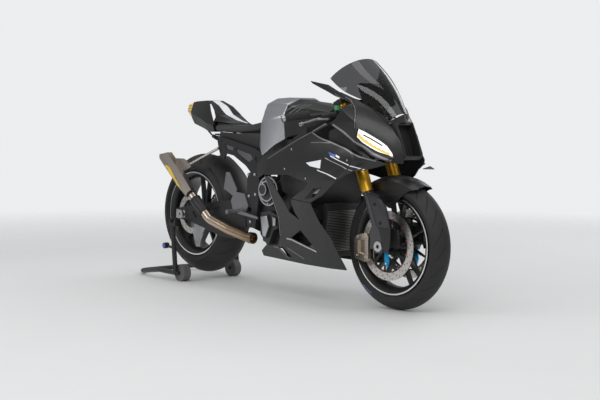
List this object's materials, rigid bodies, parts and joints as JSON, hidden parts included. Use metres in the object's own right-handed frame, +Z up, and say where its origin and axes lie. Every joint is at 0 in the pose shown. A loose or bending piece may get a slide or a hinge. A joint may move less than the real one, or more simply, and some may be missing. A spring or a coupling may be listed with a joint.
{
  "type": "sport motorcycle on a rear paddock stand",
  "caption": "Fully faired two-wheeled sport motorcycle with steering fork, spinning wheels and side stand, held upright by a rear paddock stand with rollers.",
  "frame": {"origin": "on the floor, at the middle of the overall length and width", "axes": "+X forward along the machine, +Y to the rider's left, +Z up"},
  "size_m": [2.2155, 0.764, 1.16],
  "materials": {
    "tyre_rubber": "matte rubber",
    "wheel_black": "satin black coating",
    "disc_steel": "ground steel",
    "sprocket_alloy": "machined",
    "yoke_black": "satin anodised black",
    "fork_gold": "gold anodised",
    "cast_black": "satin black casting",
    "axle_steel": "machined steel",
    "caliper_nickel": "nickel plated",
    "body_black": "satin black paint",
    "frame_black": "satin black casting",
    "engine_metal": "dark cast alloy",
    "radiator_black": "black fins",
    "tank_metal": "brushed light alloy",
    "seat_black": "grained black cover",
    "plastic_black": "moulded black",
    "lamp_amber": "amber lens",
    "lamp_white": "lit lens",
    "chain_steel": "plated chain",
    "titanium": "brushed titanium",
    "stand_black": "powder coated",
    "roller_plastic": "moulded nylon",
    "screen_smoke": "smoked clear plastic"
  },
  "bodies": {
    "chassis": {"main_frame": "frame_black", "engine": "engine_metal", "radiator": "radiator_black", "subframe": "frame_black", "fuel_tank": "tank_metal", "tank_cover": "body_black", "seat": "seat_black", "seat_base": "plastic_black", "tail_cowl": "body_black", "tail_lamp": "lamp_amber", "swingarm": "frame_black", "rear_axle": "axle_steel", "rear_caliper": "cast_black", "rear_hugger": "plastic_black", "drive_chain": "chain_steel", "rear_shock": "cast_black", "exhaust_pipe": "titanium", "silencer": "titanium", "footrests": "cast_black", "paddock_stand": "stand_black", "side_fairings": "body_black", "belly_fairings": "body_black", "winglets": "body_black", "nose_cowl": "body_black", "headlamps": "lamp_white", "air_intake": "plastic_black", "windscreen": "screen_smoke", "instrument_display": "plastic_black"},
    "steering": {"yokes": "yoke_black", "fork_outer_tubes": "fork_gold", "fork_lower_legs": "cast_black", "front_axle": "axle_steel", "front_calipers": "caliper_nickel", "front_mudguard": "body_black", "handlebars": "yoke_black", "hand_controls": "cast_black"},
    "front_wheel": {"front_tyre": "tyre_rubber", "front_rim": "wheel_black", "front_discs": "disc_steel"},
    "rear_wheel": {"rear_tyre": "tyre_rubber", "rear_rim": "wheel_black", "rear_disc": "disc_steel", "rear_sprocket": "sprocket_alloy"},
    "stand_roller_left": {"stand_roller_left": "roller_plastic"},
    "stand_roller_right": {"stand_roller_right": "roller_plastic"},
    "side_stand": {"side_stand": "stand_black"}
  },
  "joints": [
    {"name": "steering_turn", "type": "hinge", "parent": "chassis", "child": "steering", "pos_m": [0.6146, 0, 0.7], "axis": [-0.3757, 0, 0.9267], "range_deg": [-25, 25]},
    {"name": "front_wheel_spin", "type": "hinge", "parent": "steering", "child": "front_wheel", "pos_m": [0.80775, 0, 0.3], "axis": [0, 1, 0], "continuous": true},
    {"name": "rear_wheel_spin", "type": "hinge", "parent": "chassis", "child": "rear_wheel", "pos_m": [-0.64825, 0, 0.365], "axis": [0, 1, 0], "continuous": true},
    {"name": "stand_roller_left_spin", "type": "hinge", "parent": "chassis", "child": "stand_roller_left", "pos_m": [-0.63425, 0.175, 0.046], "axis": [0, 1, 0], "continuous": true},
    {"name": "stand_roller_right_spin", "type": "hinge", "parent": "chassis", "child": "stand_roller_right", "pos_m": [-0.63425, -0.175, 0.046], "axis": [0, 1, 0], "continuous": true},
    {"name": "side_stand_fold", "type": "hinge", "parent": "chassis", "child": "side_stand", "pos_m": [-0.01725, 0.179, 0.262], "axis": [0.1639, -0.9807, -0.107], "range_deg": [0, 95]}
  ]
}
